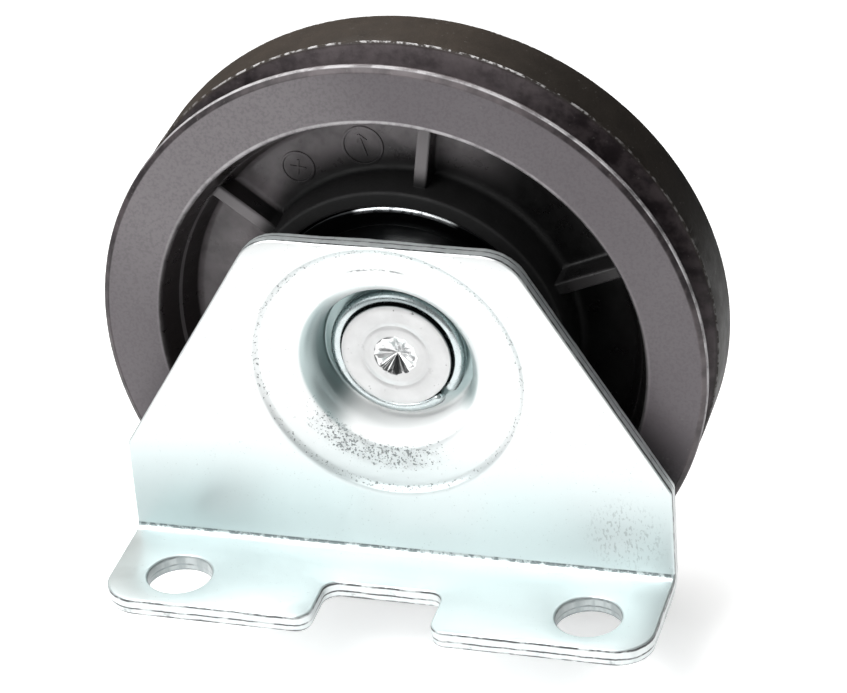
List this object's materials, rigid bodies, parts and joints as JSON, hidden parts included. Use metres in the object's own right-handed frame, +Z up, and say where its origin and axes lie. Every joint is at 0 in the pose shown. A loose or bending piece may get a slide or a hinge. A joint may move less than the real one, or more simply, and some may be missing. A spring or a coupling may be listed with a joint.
{
  "type": "gate wheel",
  "caption": "Grooved plastic gate wheel on a sealed ball bearing, carried by a headed pin on a zinc-plated steel angle bracket with a two-hole notched foot.",
  "frame": {"origin": "middle of the two foot holes, on the foot's underside", "axes": "+X along the foot through both holes, +Y from the foot towards the wheel along the axle, +Z up from the foot to the top of the bracket plate"},
  "size_m": [0.066, 0.0323, 0.066],
  "materials": {
    "zinc_plate": "satin",
    "wheel_nylon": "satin",
    "bearing_steel": "polished",
    "inner_race_steel": "polished",
    "ball_steel": "polished",
    "cage_steel": "satin",
    "rivet_steel": "satin",
    "shield_steel": "satin",
    "pin_steel": "satin",
    "ring_steel": "satin"
  },
  "bodies": {
    "frame": {"bracket": "zinc_plate", "axle_pin": "pin_steel", "snap_ring": "ring_steel", "inner_race": "inner_race_steel"},
    "wheel": {"pulley_wheel": "wheel_nylon", "outer_race": "bearing_steel", "shield_front": "shield_steel", "shield_rear": "shield_steel"},
    "ball_cage": {"ball_1": "ball_steel", "ball_2": "ball_steel", "ball_3": "ball_steel", "ball_4": "ball_steel", "ball_5": "ball_steel", "ball_6": "ball_steel", "ball_7": "ball_steel", "cage_front": "cage_steel", "cage_rear": "cage_steel", "cage_rivets": "rivet_steel"}
  },
  "joints": [
    {"name": "wheel_spin", "type": "hinge", "parent": "frame", "child": "wheel", "pos_m": [0, 0.0203, 0.0245], "axis": [0, 1, 0], "continuous": true},
    {"name": "cage_spin", "type": "hinge", "parent": "frame", "child": "ball_cage", "pos_m": [0, 0.0203, 0.0245], "axis": [0, 1, 0], "continuous": true}
  ],
  "couplings": [
    {"joint": "cage_spin", "follows": "wheel_spin", "ratio": 0.634}
  ]
}
